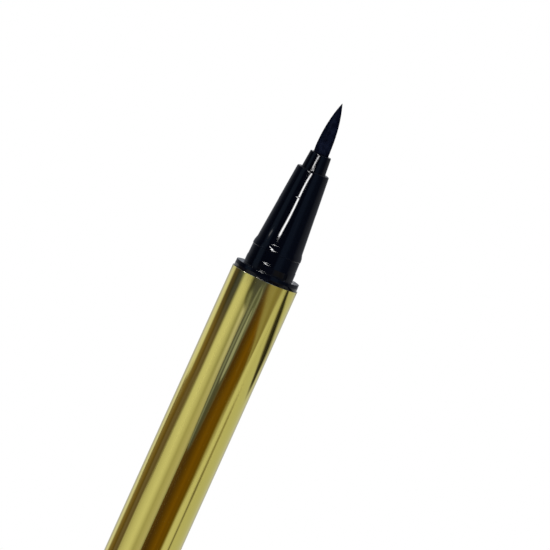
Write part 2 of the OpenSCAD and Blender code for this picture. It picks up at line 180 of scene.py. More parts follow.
def addMath(tree, operation, *values):
    return addNode(tree, "Math", dict(enumerate(values)), operation=operation).outputs[0]


def addNoise(tree, place, scale, detail, **more):
    values = {"Vector": place, "Scale": scale, "Detail": detail, **more}
    return addNode(tree, "TexNoise", values).outputs["Fac"]


# share of the way from low to high that a value has come
def between(tree, value, low, high):
    return addNode(tree, "MapRange", {"Value": value, "From Min": low, "From Max": high}).outputs[0]


# a share spread out from low to high
def spread(tree, value, low, high):
    return addNode(tree, "MapRange", {"Value": value, "To Min": low, "To Max": high}).outputs[0]


def newGroup(name, inputs, outputs):
    group = bpy.data.node_groups.new(name, "ShaderNodeTree")
    for label, kind, value in inputs:
        socket = group.interface.new_socket(name=label, in_out="INPUT", socket_type="NodeSocket" + kind)
        if value is not None:
            socket.default_value = value
    for label in outputs:
        group.interface.new_socket(name=label, in_out="OUTPUT", socket_type="NodeSocketFloat")
    return group, group.nodes.new("NodeGroupInput").outputs, group.nodes.new("NodeGroupOutput").inputs


def useGroup(tree, group, values):
    node = tree.nodes.new("ShaderNodeGroup")
    node.node_tree = group
    setInputs(tree, node, values)
    return node.outputs


# how surfaces wear: scales of the noises, the part of each that shows, and (turn, stretch) of the hairlines
wear = dict(patchScale=900.0, patchShown=(0.42, 0.62), lineShown=(0.66, 0.74), smudgeScale=110.0,
            smudgeShown=(0.45, 0.75),
            hairlines=(((0.04, 0.02, 0), (2600, 2600, 55)), ((0.9, 0.3, 0.5), (3200, 3200, 140))))


# bare band along a turned edge, broken up where it was rubbed less
def makeRimWear():
    group, given, result = newGroup(
        "rimWear",
        [("Vector", "Vector", None), ("Height", "Float", 0.1), ("Reach", "Float", 0.0002)],
        ["Mask"])
    level = addNode(group, "SeparateXYZ", {"Vector": given["Vector"]}).outputs["Z"]
    gap = addMath(group, "ABSOLUTE", addMath(group, "SUBTRACT", level, given["Height"]))
    near = between(group, gap, given["Reach"], 0.0)
    patches = addNoise(group, given["Vector"], wear["patchScale"], 3.0)
    broken = between(group, patches, *wear["patchShown"])
    group.links.new(addMath(group, "MULTIPLY", near, broken), result["Mask"])
    return group


# what hands leave on a polished surface: hairlines along the pen and across it, and dull smudges
def makeHandling():
    group, given, result = newGroup(
        "handling", [("Vector", "Vector", None), ("Fineness", "Float", 1.0)], ["Hairlines", "Smudges"])
    lines = []
    for turn, stretch in wear["hairlines"]:
        aim = addNode(group, "Mapping", {"Vector": given["Vector"], "Rotation": turn, "Scale": stretch})
        field = addNoise(group, aim.outputs[0], given["Fineness"], 2.0)
        lines.append(between(group, field, *wear["lineShown"]))
    both = addMath(group, "MAXIMUM", *lines)
    broad = addNoise(group, given["Vector"], wear["smudgeScale"], 4.0, Roughness=0.6)
    dull = between(group, broad, *wear["smudgeShown"])
    group.links.new(both, result["Hairlines"])
    group.links.new(dull, result["Smudges"])
    return group


# skin of a moulded or drawn surface: slow waves and a fine grain, both as heights
def makeSkin():
    group, given, result = newGroup(
        "skin",
        [("Vector", "Vector", None), ("Wave Scale", "Float", 150.0), ("Grain Scale", "Float", 2500.0),
         ("Grain", "Float", 0.2)],
        ["Height", "Tone"])
    wave = addNoise(group, given["Vector"], given["Wave Scale"], 1.0)
    grain = addNoise(group, given["Vector"], given["Grain Scale"], 2.0)
    part = addMath(group, "MULTIPLY", grain, given["Grain"])
    group.links.new(addMath(group, "ADD", wave, part), result["Height"])
    group.links.new(wave, result["Tone"])
    return group


rimWear, handling, skin = makeRimWear(), makeHandling(), makeSkin()


# a material, its tree, its shader, and Object coordinates as they are and stretched along each axis
def startMaterial(name, stretch=(1, 1, 1), **constants):
    material = bpy.data.materials.new(name)
    material.use_nodes = True
    tree = material.node_tree
    shader = tree.nodes["Principled BSDF"]
    for label, value in constants.items():
        shader.inputs[label.replace("_", " ")].default_value = value
    place = addNode(tree, "TexCoord").outputs["Object"]
    along = addNode(tree, "Mapping", {"Vector": place, "Scale": stretch}).outputs[0]
    return material, tree, shader, place, along


def blend(tree, share, first, second):
    mix = addNode(tree, "Mix", {"Factor": share}, data_type="RGBA")
    for socket, value in ((mix.inputs[6], first), (mix.inputs[7], second)):
        if isinstance(value, bpy.types.NodeSocket):
            tree.links.new(value, socket)
        else:
            socket.default_value = (*value, 1)
    return mix.outputs[2]


def bump(tree, shader, height, distance):
    relief = addNode(tree, "Bump", {"Height": height, "Distance": distance, "Strength": 1.0})
    tree.links.new(relief.outputs["Normal"], shader.inputs["Normal"])


def wearMask(tree, place, height, reach):
    return useGroup(tree, rimWear, {"Vector": place, "Height": height * mm, "Reach": reach * mm})["Mask"]


mirrorGold = dict(gold=(0.572, 0.512, 0.140), deeper=0.95, bare=(0.80, 0.78, 0.70), lipReach=0.06,
                  smudged=0.35, roughness=0.055, dull=0.13, stretch=(1, 1, 0.35), waveScale=170.0, grain=0.02,
                  wave=1.2e-5)


# anodised aluminium, polished before it was dyed, with bare metal on the lips
def goldMaterial(name, lips):
    look = mirrorGold
    material, tree, shader, place, along = startMaterial(name, look["stretch"], Metallic=1.0)
    surface = useGroup(tree, handling, {"Vector": place})
    metal = useGroup(tree, skin, {"Vector": along, "Wave Scale": look["waveScale"], "Grain": look["grain"]})
    rubbed = None
    for lip in lips:
        mask = wearMask(tree, place, lip, look["lipReach"])
        rubbed = mask if rubbed is None else addMath(tree, "MAXIMUM", rubbed, mask)
    deeper = tuple(c * look["deeper"] for c in look["gold"])
    dyed = blend(tree, metal["Tone"], look["gold"], deeper)
    tree.links.new(blend(tree, rubbed, dyed, look["bare"]), shader.inputs["Base Color"])
    dulled = addMath(tree, "MULTIPLY", surface["Smudges"], look["smudged"])
    lined = addMath(tree, "MAXIMUM", dulled, surface["Hairlines"])
    worn = addMath(tree, "MAXIMUM", lined, rubbed)
    tree.links.new(spread(tree, worn, look["roughness"], look["dull"]), shader.inputs["Roughness"])
    bump(tree, shader, metal["Height"], look["wave"])
    return material


glossBlack = dict(colour=(0.0010, 0.0015, 0.0040), greyed=(0.0035, 0.004, 0.007), ior=1.24, edgeReach=0.2,
                  lined=0.5, smudged=0.4, roughness=0.025, dull=0.075, fineness=1.2, waveScale=260.0,
                  grain=0.05, wave=1.0e-6)


# moulded plastic with a polished skin, wiped and handled
def blackMaterial(name, roughness, edges):
    look = glossBlack
    material, tree, shader, place, _ = startMaterial(name, Metallic=0.0, IOR=look["ior"])
    surface = useGroup(tree, handling, {"Vector": place, "Fineness": look["fineness"]})
    moulded = useGroup(tree, skin, {"Vector": place, "Wave Scale": look["waveScale"], "Grain": look["grain"]})
    marks = addMath(tree, "MULTIPLY", surface["Hairlines"], look["lined"])
    for edge in edges:
        marks = addMath(tree, "MAXIMUM", marks, wearMask(tree, place, edge, look["edgeReach"]))
    tree.links.new(blend(tree, marks, look["colour"], look["greyed"]), shader.inputs["Base Color"])
    used = addMath(tree, "MAXIMUM", addMath(tree, "MULTIPLY", surface["Smudges"], look["smudged"]), marks)
    tree.links.new(spread(tree, used, roughness, look["dull"]), shader.inputs["Roughness"])
    bump(tree, shader, moulded["Height"], look["wave"])
    return material


# share of the grain in the relief of the inner pieces
castGrain = 0.4


# plain moulded, rubber and felt finishes of the inner pieces: two tones, a roughness range and a grain
def mouldedMaterial(name, light, dark, roughness, wave, grain, relief, stretch=(1, 1, 1), **constants):
    material, tree, shader, _, along = startMaterial(name, stretch, **constants)
    scales = {"Wave Scale": wave, "Grain Scale": grain, "Grain": castGrain}
    cast = useGroup(tree, skin, {"Vector": along, **scales})
    tree.links.new(blend(tree, cast["Tone"], light, dark), shader.inputs["Base Color"])
    tree.links.new(spread(tree, cast["Height"], *roughness), shader.inputs["Roughness"])
    bump(tree, shader, cast["Height"], relief)
    return material


# finishes of the CAD nodes that stay, by node
innerFinishes = {
    "ink_tank": dict(light=(0.78, 0.79, 0.80), dark=(0.70, 0.71, 0.73), roughness=(0.28, 0.5),
                     wave=180, grain=2500, relief=4e-6, stretch=(1, 1, 0.2)),
    "tank_plug": dict(light=(0.74, 0.75, 0.77), dark=(0.66, 0.67, 0.70), roughness=(0.3, 0.5),
                      wave=400, grain=3500, relief=4e-6),
    "collector": dict(light=(0.80, 0.82, 0.84), dark=(0.66, 0.69, 0.74), roughness=(0.15, 0.35),
                      wave=300, grain=4000, relief=3e-6),
    "collector_seal": dict(light=(0.030, 0.030, 0.032), dark=(0.015, 0.015, 0.017), roughness=(0.4, 0.75),
                           wave=900, grain=9000, relief=6e-6),
    "feed_rod": dict(light=(0.050, 0.050, 0.070), dark=(0.008, 0.008, 0.016), roughness=(0.55, 0.95),
                     wave=1500, grain=12000, relief=2.5e-5, stretch=(1, 1, 0.06)),
    "brush_holder": dict(light=(0.045, 0.045, 0.052), dark=(0.030, 0.030, 0.036), roughness=(0.2, 0.4),
                         wave=400, grain=5000, relief=3e-6),
    "mixing_ball": dict(light=(0.62, 0.62, 0.64), dark=(0.50, 0.50, 0.53), roughness=(0.08, 0.22),
                        wave=700, grain=9000, relief=8e-7, Metallic=1.0),
    "cap_liner": dict(light=(0.016, 0.016, 0.020), dark=(0.010, 0.010, 0.013), roughness=(0.16, 0.36),
                      wave=350, grain=4500, relief=4e-6, stretch=(1, 1, 0.3)),
    "spring_seat": dict(light=(0.80, 0.80, 0.81), dark=(0.72, 0.72, 0.74), roughness=(0.35, 0.55),
                        wave=400, grain=5000, relief=5e-6),
    "inner_cap": dict(light=(0.84, 0.84, 0.85), dark=(0.77, 0.77, 0.79), roughness=(0.32, 0.55),
                      wave=320, grain=4200, relief=5e-6, stretch=(1, 1, 0.3)),
    "inner_cap_seal": dict(light=(0.34, 0.34, 0.36), dark=(0.25, 0.25, 0.28), roughness=(0.5, 0.8),
                           wave=900, grain=8000, relief=8e-6),
}


def dressInnerNodes():
    for name, finish in innerFinishes.items():
        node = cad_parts[name]
        material = mouldedMaterial(name, **finish)
        if not node.material_slots:
            node.data.materials.append(material)
        for slot in node.material_slots:
            slot.material = material


dressInnerNodes()
print("inner pieces dressed")


# gold sleeves: drawn tube with chamfered lips, and the same tube closed at one end
sleeve = dict(radius=5.3, bore=4.8, lipEdge=0.027, lipIn=0.02, boreEdge=0.1, capEdge=0.5, capEnd=0.5,
              capWearHeight=0.15, steps=208)


def makeBarrelSleeve():
    low, high = lowEnd("barrel_sleeve"), highEnd("barrel_sleeve")
    points = roundCorners([
        (sleeve["bore"], low, sleeve["boreEdge"]),
        (sleeve["radius"] - sleeve["lipIn"], low, 0),
        (sleeve["radius"], low + sleeve["lipEdge"], 0),
        (sleeve["radius"], high - sleeve["lipEdge"], 0),
        (sleeve["radius"] - sleeve["lipIn"], high, 0),
        (sleeve["bore"], high, sleeve["boreEdge"]),
    ])
    piece = turnPiece("barrelSleeve", points, sleeve["steps"])
    finishPiece(piece, "pen", "gold_sleeve", goldMaterial("barrelGold", (low, high)), "barrel_sleeve")


def makeCapSleeve():
    low, high = lowEnd("cap_sleeve"), highEnd("cap_sleeve")
    points = roundCorners([
        (0, low, 0),
        (sleeve["radius"], low, sleeve["capEdge"]),
        (sleeve["radius"], high - sleeve["lipEdge"], 0),
        (sleeve["radius"] - sleeve["lipIn"], high, 0),
        (sleeve["bore"], high, sleeve["boreEdge"]),
        (sleeve["bore"], low + sleeve["capEnd"], sleeve["boreEdge"]),
        (0, low + sleeve["capEnd"], 0),
    ])
    piece = turnPiece("capSleeve", points, sleeve["steps"])
    material = goldMaterial("capGold", (low + sleeve["capWearHeight"], high))
    finishPiece(piece, "cap", "gold_sleeve", material, "cap_sleeve")


makeBarrelSleeve()
makeCapSleeve()
print("gold sleeves turned")


# cap neck, the same on the grip and on the tail, as heights from the face of its flange
neck = dict(radius=3.975, foot=0.09, lipHeight=1.07, lipReach=0.3, lipDepth=0.045, lipGap=0.05, afterLip=3.91,
            afterLipFall=0.002, waist=3.865, bead=3.925, beadHeight=3.2, shoulderHeight=3.8,
            shoulderDrop=0.075, coneFoot=3.69, coneHeight=4.32, chamferOut=0.015, chamferDown=0.05)


def neckOutline(face, way, arcSteps=7, lipSteps=4):
    foot, lip, bead, hold = neck["foot"], neck["lipHeight"], neck["bead"], turning["hold"]
    quarter = [math.pi / 2 * k / arcSteps for k in range(arcSteps + 1)]
    fillet = [(neck["radius"] + foot * (1 - math.sin(a)), foot * (1 - math.cos(a))) for a in quarter]
    ridge = [
        (neck["radius"] - neck["lipDepth"] * k * k / lipSteps ** 2, lip + neck["lipReach"] * k / lipSteps)
        for k in range(lipSteps + 1)
    ]
    undercut = neck["beadHeight"] - (bead - neck["waist"])
    rise = neck["shoulderHeight"] - neck["beadHeight"]
    shoulder = [
        (bead - neck["shoulderDrop"] * k * k / arcSteps ** 2, neck["beadHeight"] + rise * k / arcSteps)
        for k in range(1, arcSteps + 1)
    ]
    afterLip = lip + neck["lipReach"] + neck["lipGap"]
    outline = [
        (neck["radius"] + foot + hold, 0),
        *fillet,
        (neck["radius"], foot + hold),
        (neck["radius"], lip - hold),
        *ridge,
        (neck["afterLip"], afterLip),
        (neck["afterLip"] - neck["afterLipFall"], afterLip + hold),
        (neck["waist"], undercut - hold),
        (neck["waist"], undercut),
        (bead, neck["beadHeight"]),
        *shoulder,
        (neck["coneFoot"] + neck["chamferOut"], neck["coneHeight"] - neck["chamferDown"]),
    ]
    return [(r, face + way * h, 0) for r, h in outline]


# rim of a flange, a little crowned between its two ends
def crownedRim(low, high, radius, crown, steps=8):
    return [
        (radius - crown * (2 * k / steps - 1) ** 2, low + (high - low) * k / steps, 0)
        for k in range(steps + 1)
    ]


# partingProfile goes across the mould's line round the cone: (place in line widths, share of its depth)
grip = dict(flange=5.125, crown=0.02, edge=0.07, fill=4.75, fillEdge=0.1, combBore=3.8, stemBore=2.85,
            stopBore=2.3, shankBore=1.97, stemTop=6.05, combTop=-3.72, stopTop=11.2, flangeHeight=1.07,
            nose=2.56, noseEdge=0.25, noseDish=0.09, parting=12.3, partingDepth=0.005, partingWidth=0.07,
            partingProfile=((-2.6, 0), (-1.4, 0), (-0.8, 0.15), (-0.4, 0.85), (0, 1), (0.4, 0.85),
                            (0.8, 0.15), (1.4, 0), (2.6, 0)))


def makeFrontSection():
    low, high = lowEnd("front_section"), highEnd("front_section")
    sleeveTop, hold = highEnd("barrel_sleeve"), turning["hold"]
    face = sleeveTop + grip["flangeHeight"]
    cone = neck["coneHeight"]
    coneRun = high - face - cone

    def coneRadius(above):
        return neck["coneFoot"] + (grip["nose"] - neck["coneFoot"]) * (above - cone) / coneRun

    parting = [
        (coneRadius(grip["parting"] + side * grip["partingWidth"]) - depth * grip["partingDepth"],
         face + grip["parting"] + side * grip["partingWidth"], 0)
        for side, depth in grip["partingProfile"]
    ]
    corners = [
        (grip["combBore"], low, 0),
        (grip["fill"], low, grip["fillEdge"]),
        (grip["fill"], sleeveTop, 0),
        *crownedRim(sleeveTop, face - grip["edge"], grip["flange"], grip["crown"])[:-1],
        (grip["flange"] - grip["crown"], face, grip["edge"]),
        *neckOutline(face, 1),
        *[(coneRadius(cone + h), face + cone + h, 0) for h in (0, hold, 2 * hold)],
        *parting,
        (grip["nose"], high, grip["noseEdge"]),
        (grip["shankBore"], high - grip["noseDish"], 0),
        (grip["shankBore"], face + grip["stopTop"], 0),
        (grip["stopBore"], face + grip["stopTop"], 0),
        (grip["stopBore"], face + grip["stemTop"], 0),
        (grip["stemBore"], face + grip["stemTop"], 0),
        (grip["stemBore"], face + grip["combTop"], 0),
        (grip["combBore"], face + grip["combTop"], 0),
    ]
    piece = turnPiece("frontSection", roundCorners(corners))
    material = blackMaterial("gripBlack", glossBlack["roughness"], (face, high, face + neck["beadHeight"]))
    finishPiece(piece, "pen", "black_gloss", material, "front_section")


tail = dict(neckLength=6.0, wall=1.2, edge=0.25, rougher=0.02)


def makeTailPlug():
    low, high = lowEnd("tail_plug"), highEnd("tail_plug")
    face, sleeveFoot, hold = low + tail["neckLength"], lowEnd("barrel_sleeve"), turning["hold"]
    hollow = neck["coneFoot"] - tail["wall"]
    corners = [
        (0, low, 0),
        (neck["coneFoot"], low, tail["edge"]),
        *[(neck["coneFoot"], face - neck["coneHeight"] - h, 0) for h in (2 * hold, hold, 0)],
        *reversed(neckOutline(face, -1)),
        (grip["flange"] - grip["crown"], face, grip["edge"]),
        *crownedRim(face + grip["edge"], sleeveFoot, grip["flange"], grip["crown"])[1:],
        (grip["fill"], sleeveFoot, 0),
        (grip["fill"], high, grip["fillEdge"]),
        (hollow, high, 0),
        (hollow, low + tail["wall"], 0),
        (0, low + tail["wall"], 0),
    ]
    piece = turnPiece("tailPlug", roundCorners(corners))
    roughness = glossBlack["roughness"] + tail["rougher"]
    material = blackMaterial("tailBlack", roughness, (face, face - neck["beadHeight"]))
    finishPiece(piece, "pen", "black_gloss", material, "tail_plug")


ferrule = dict(foot=1.92, mouth=1.675, edge=0.15, stop=2.25, stopHeight=0.8, stopEdge=0.05, holderBore=1.55,
               brushBore=1.27, seatDepth=3.5, boreEdge=0.07, footStep=0.07, footFall=0.0063, steps=144,
               rougher=0.01)


def makeFerrule():
    low, high = lowEnd("brush_ferrule"), highEnd("brush_ferrule")
    noseEnd = highEnd("front_section")
    seat = high - ferrule["seatDepth"]
    corners = [
        (ferrule["holderBore"], low, 0),
        (ferrule["stop"], low, ferrule["stopEdge"]),
        (ferrule["stop"], low + ferrule["stopHeight"], ferrule["stopEdge"]),
        (ferrule["foot"], low + ferrule["stopHeight"], 0),
        (ferrule["foot"], noseEnd, 0),
        (ferrule["foot"] - ferrule["footFall"], noseEnd + ferrule["footStep"], 0),
        (ferrule["mouth"], high, ferrule["edge"]),
        (ferrule["brushBore"], high, ferrule["boreEdge"]),
        (ferrule["brushBore"], seat, 0),
        (ferrule["holderBore"], seat, 0),
    ]
    piece = turnPiece("brushFerrule", roundCorners(corners), ferrule["steps"])
    material = blackMaterial("ferruleBlack", glossBlack["roughness"] + ferrule["rougher"], (high,))
    finishPiece(piece, "pen", "black_gloss", material, "brush_ferrule")


makeFrontSection()
makeTailPlug()
makeFerrule()
print("black pieces turned")


# brush: tapered filaments in layers round a wet core, gathered in locks and drawn to one point
# lean is (sideways at the root, more towards the point). Layers are (share of the radius, filaments).
bundle = dict(radius=1.215, pinch=0.025, pinchReach=0.4, power=2.45, blunt=0.985, lean=(-0.05, -0.14),
              leanIn=8, rootDepth=0.35, coreGap=0.03, coreRings=26, coreSteps=48, coreTone=0.1,
              layers=((1.0, 170), (0.93, 150), (0.84, 120)), jitter=0.2, filament=0.030, thinnest=0.35,
              taper=0.55, tipWidth=0.002, sides=5, rings=10, shorter=0.42, shortPower=2.2, drift=0.012,
              driftWaves=4, lift=0.008, locks=21, lockDepth=0.025, lockPull=0.16, lockIn=3, lockRadius=0.5,
              lockTone=0.6, seed=11)


def bundleRadius(height, length):
    share = min(max(height / length, 0), 1) * bundle["blunt"]
    pinched = 1 - bundle["pinch"] * math.exp(-max(height, 0) / bundle["pinchReach"])
    return bundle["radius"] * pinched * (1 - share ** bundle["power"])


def bundleMiddle(height, length):
    share = max(height / length, 0)
    return bundle["lean"][0] * min(share * bundle["leanIn"], 1) + bundle["lean"][1] * share


def makeStrand():
    clearSelection()
    bpy.ops.mesh.primitive_circle_add(vertices=bundle["sides"], radius=1, fill_type="NGON")
    strand = bpy.context.object
    bpy.ops.object.mode_set(mode="EDIT")
    bpy.ops.mesh.select_mode(type="VERT")
    bpy.ops.mesh.select_all(action="SELECT")
    width = 1.0
    for ring in range(1, bundle["rings"] + 1):
        bpy.ops.mesh.extrude_region_move(TRANSFORM_OT_translate={"value": (0, 0, 1 / bundle["rings"])})
        narrower = max(1 - ring / bundle["rings"], bundle["tipWidth"]) ** bundle["taper"]
        bpy.ops.transform.resize(value=(narrower / width, narrower / width, 1))
        width = narrower
    closeUp(strand)
    bpy.ops.object.shade_smooth()
    return strand


# lock of hair that an angle belongs to: how far it lies from the middle of its lock, and the lock's tone
def makeLocks(chance):
    edges = sorted(chance.random() for k in range(bundle["locks"]))
    tones = [chance.random() for k in range(bundle["locks"])]

    def lockOf(turn):
        after = next((k for k, edge in enumerate(edges) if edge > turn), 0)
        low, high = edges[after - 1], edges[after]
        width = (high - low) % 1
        return (((turn - low) % 1) / width - 0.5) * 2, width, tones[after]

    return lockOf


def setTone(mesh, value):
    shade = mesh.attributes.new("tone", "FLOAT", "POINT")
    shade.data.foreach_set("value", [value] * len(mesh.vertices))


def layStrand(strand, turn, share, lock, root, length, chance):
    mesh = strand.data.copy()
    side, width, tone = lock
    end = length * (1 - bundle["shorter"] * chance.random() ** bundle["shortPower"])
    drift = chance.uniform(-bundle["drift"], bundle["drift"])
    wave = chance.uniform(0, 2 * math.pi)
    lift = chance.uniform(-bundle["lift"], bundle["lift"])
    for corner in mesh.vertices:
        along = corner.co.z
        height = -bundle["rootDepth"] + (end + bundle["rootDepth"]) * along
        outline = bundleRadius(height, length)
        drawn = min(max(height / length, 0), 1)
        pulled = side * width * bundle["lockPull"] * drawn
        swing = turn + drift * math.sin(wave + bundle["driftWaves"] * along) * drawn - pulled
        angle = 2 * math.pi * swing
        thick = bundle["filament"] * min(1, bundle["thinnest"] + outline / bundle["radius"])
        dip = bundle["lockDepth"] * abs(side) ** 3 * min(drawn * bundle["lockIn"], 1)
        dip *= min(outline / bundle["lockRadius"], 1)
        out = max(outline * share - thick - dip + lift * min(outline, 1), 0)
        across = Vector((math.cos(angle), math.sin(angle), 0)) * (out + corner.co.x * thick)
        beside = Vector((-math.sin(angle), math.cos(angle), 0)) * corner.co.y * thick
        place = across + beside + Vector((bundleMiddle(height, length), 0, root + height))
        corner.co = place * mm
    # each lock's tone lightens its filaments: partly the ink's uneven tone, partly painted sheen of the
    # fibres
    setTone(mesh, bundle["lockTone"] * tone + (1 - bundle["lockTone"]) * chance.random())
    laid = bpy.data.objects.new("filament", mesh)
    scene.collection.objects.link(laid)
    return laid


def makeBrushCore(root, length):
    rings = bundle["coreRings"]
    points = [(0, root - bundle["rootDepth"])]
    for k in range(rings + 1):
        height = -bundle["rootDepth"] + (length + bundle["rootDepth"]) * k / rings
        points.append((max(bundleRadius(height, length) - bundle["coreGap"], 0), root + height))
    core = turnPiece("brushCore", points, bundle["coreSteps"])
    for corner in core.data.vertices:
        corner.co.x += bundleMiddle(corner.co.z / mm - root, length) * mm
    setTone(core.data, bundle["coreTone"])
    return core


# ink colours; light is the lighter blue of the patches, partly the ink's uneven tone and partly painted sheen
# of the fibres
wetInk = dict(dark=(0.0010, 0.0020, 0.0085), light=(0.0080, 0.0120, 0.030), streak=(0.0012, 0.0018, 0.008),
              streaked=0.5, streakScale=6000.0, stretch=(1, 1, 0.05), patchScale=1000.0,
              patchShown=(0.40, 0.64), dimmest=0.45, ior=1.1, specular=0.2, roughness=(0.45, 0.75),
              relief=6e-6)


def brushMaterial():
    look = wetInk
    material, tree, shader, place, along = startMaterial(
        "wetFilaments", look["stretch"], IOR=look["ior"], Specular_IOR_Level=look["specular"])
    tone = addNode(tree, "Attribute", attribute_name="tone").outputs["Fac"]
    streak = addNoise(tree, along, look["streakScale"], 2.0)
    patch = addNoise(tree, place, look["patchScale"], 3.0)
    cloud = between(tree, patch, *look["patchShown"])
    # lighter blue where the noise patches and the lock tones are high: partly the ink's uneven tone, partly
    # painted sheen of the fibres
    toneAndSheen = addMath(tree, "MULTIPLY", cloud, spread(tree, tone, look["dimmest"], 1.0))
    ink = blend(tree, toneAndSheen, look["dark"], look["light"])
    streaked = blend(tree, spread(tree, streak, 0, look["streaked"]), ink, look["streak"])
    tree.links.new(streaked, shader.inputs["Base Color"])
    tree.links.new(spread(tree, patch, *look["roughness"]), shader.inputs["Roughness"])
    bump(tree, shader, streak, look["relief"])
    return material


def makeBrush():
    chance = random.Random(bundle["seed"])
    root = highEnd("brush_ferrule")
    length = highEnd("brush") - root
    strand = makeStrand()
    lockOf = makeLocks(chance)
    laid = []
    for share, count in bundle["layers"]:
        start = chance.random() / count
        for k in range(count):
            turn = (start + (k + chance.uniform(-bundle["jitter"], bundle["jitter"])) / count) % 1
            laid.append(layStrand(strand, turn, share, lockOf(turn), root, length, chance))
    core = makeBrushCore(root, length)
    clearSelection()
    for piece in laid:
        piece.select_set(True)
    core.select_set(True)
    bpy.context.view_layer.objects.active = core
    bpy.ops.object.join()
    core.name = core.data.name = "brushHair"
    bpy.data.objects.remove(strand)
    finishPiece(core, "pen", "brush_fibre", brushMaterial(), "brush")
    print("brush laid:", len(laid), "filaments")


makeBrush()


# spring: round wire with one closed turn at each end
coil = dict(radius=2.8, wire=0.25, turns=6, closedTurns=0.9, closedPitch=1.04, pointsPerTurn=28,
            smoothAngle=40)
springFinish = dict(light=(0.56, 0.57, 0.59), dark=(0.42, 0.43, 0.46), roughness=(0.18, 0.34), wave=900,
                    grain=9000, relief=2e-6, Metallic=1.0)


def makeSpring():
    low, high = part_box("inner_cap_spring")[0].z / mm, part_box("inner_cap_spring")[1].z / mm
    closed, wireWidth = coil["closedTurns"], 2 * coil["wire"]
    closedRise = wireWidth * coil["closedPitch"] * closed
    openRise = high - low - wireWidth - 2 * closedRise

    def rise(turn):
        past = turn - coil["turns"] + closed
        if turn < closed:
            return closedRise * turn / closed
        if past > 0:
            return closedRise + openRise + closedRise * past / closed
        share = (turn - closed) / (coil["turns"] - 2 * closed)
        return closedRise + openRise * share

    curve = bpy.data.curves.new("innerCapSpring", "CURVE")
    curve.dimensions = "3D"
    curve.bevel_depth = coil["wire"] * mm
    curve.bevel_resolution = 3
    curve.use_fill_caps = True
    wire = curve.splines.new("POLY")
    wire.points.add(coil["turns"] * coil["pointsPerTurn"])
    for k, point in enumerate(wire.points):
        turn = k / coil["pointsPerTurn"]
        angle = 2 * math.pi * turn
        point.co = (coil["radius"] * mm * math.cos(angle), coil["radius"] * mm * math.sin(angle),
                    (low + coil["wire"] + rise(turn)) * mm, 1)
    clearSelection()
    piece = bpy.data.objects.new("innerCapSpring", curve)
    scene.collection.objects.link(piece)
    piece.select_set(True)
    bpy.context.view_layer.objects.active = piece
    bpy.ops.object.convert(target="MESH")
    bpy.ops.object.shade_smooth_by_angle(angle=math.radians(coil["smoothAngle"]))
    material = mouldedMaterial("springWire", **springFinish)
    finishPiece(piece, "cap", "spring_steel", material, "inner_cap_spring")
    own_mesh(piece)


makeSpring()
print("spring wound")


# studio: a pale round floor, white surroundings, and cards that only reflections see. Its sizes are metres.
studio = dict(floorRadius=0.38, floorSides=128, floorColour=(0.93, 0.93, 0.93), floorDarker=0.985,
              floorWave=8.0, floorGrain=900.0, roomLight=0.62, lampAim=(0, 0, 0.08))


def makeFloor():
    clearSelection()
    bpy.ops.mesh.primitive_circle_add(
        vertices=studio["floorSides"], radius=studio["floorRadius"], fill_type="NGON")
    floor = bpy.context.object
    floor.name = "floor"
    material, tree, shader, place, _ = startMaterial("palePaper", Roughness=0.9, IOR=1.15)
    scales = {"Wave Scale": studio["floorWave"], "Grain Scale": studio["floorGrain"], "Grain": 0.1}
    paper = useGroup(tree, skin, {"Vector": place, **scales})
    pale = studio["floorColour"]
    darker = tuple(c * studio["floorDarker"] for c in pale)
    tree.links.new(blend(tree, paper["Tone"], pale, darker), shader.inputs["Base Color"])
    floor.data.materials.append(material)


def makeWorld():
    world = bpy.data.worlds.new("whiteRoom")
    scene.world = world
    world.use_nodes = True
    tree = world.node_tree
    tree.nodes.clear()
    path = addNode(tree, "LightPath").outputs
    seen = addMath(tree, "MAXIMUM", path["Is Camera Ray"], path["Is Glossy Ray"])
    seen = addMath(tree, "MAXIMUM", seen, path["Is Transmission Ray"])
    room = addNode(tree, "Background", {"Color": (1, 1, 1, 1), "Strength": studio["roomLight"]})
    bright = addNode(tree, "Background", {"Color": (1, 1, 1, 1), "Strength": 1.0})
    mix = addNode(tree, "MixShader", {0: seen, 1: room.outputs[0], 2: bright.outputs[0]})
    end = addNode(tree, "OutputWorld")
    tree.links.new(mix.outputs[0], end.inputs["Surface"])


lamps = (
    dict(name="keyPanel", place=(-0.55, -0.75, 0.85), size=0.7, power=5.0),
    dict(name="sidePanel", place=(0.85, -0.25, 0.55), size=0.6, power=2.6),
    dict(name="backPanel", place=(0.1, 0.85, 0.8), size=0.7, power=2.6),
)


def hangLamps():
    for lamp in lamps:
        bpy.ops.object.light_add(type="AREA", location=lamp["place"])
        light = bpy.context.object
        light.name = lamp["name"]
        light.data.size = lamp["size"]
        light.data.energy = lamp["power"]
        aim = Vector(studio["lampAim"]) - Vector(lamp["place"])
        light.rotation_euler = aim.to_track_quat("-Z", "Y").to_euler()
        light.visible_glossy = False


# smooth curve through four rows, from the second to the third
def smoothRow(before, here, there, after, share):
    return [
        b + 0.5 * share * (c - a + share * (2 * a - 5 * b + 4 * c - d + share * (3 * (b - c) + d - a)))
        for a, b, c, d in zip(before, here, there, after)
    ]


# slope of the camera's rays after they met the pen at a height and a share of its radius, by its side's lean
def raySlope(height, share, surface):
    tilt = math.radians(cameraPlace["elevation"])
    above = cameraPlace["aim"][2] + cameraPlace["distance"] * math.sin(tilt) - height
    facing = math.sqrt(1 - share * share)
    return 2 * math.radians(surface) * facing - math.atan2(above, cameraPlace["distance"] * math.cos(tilt))


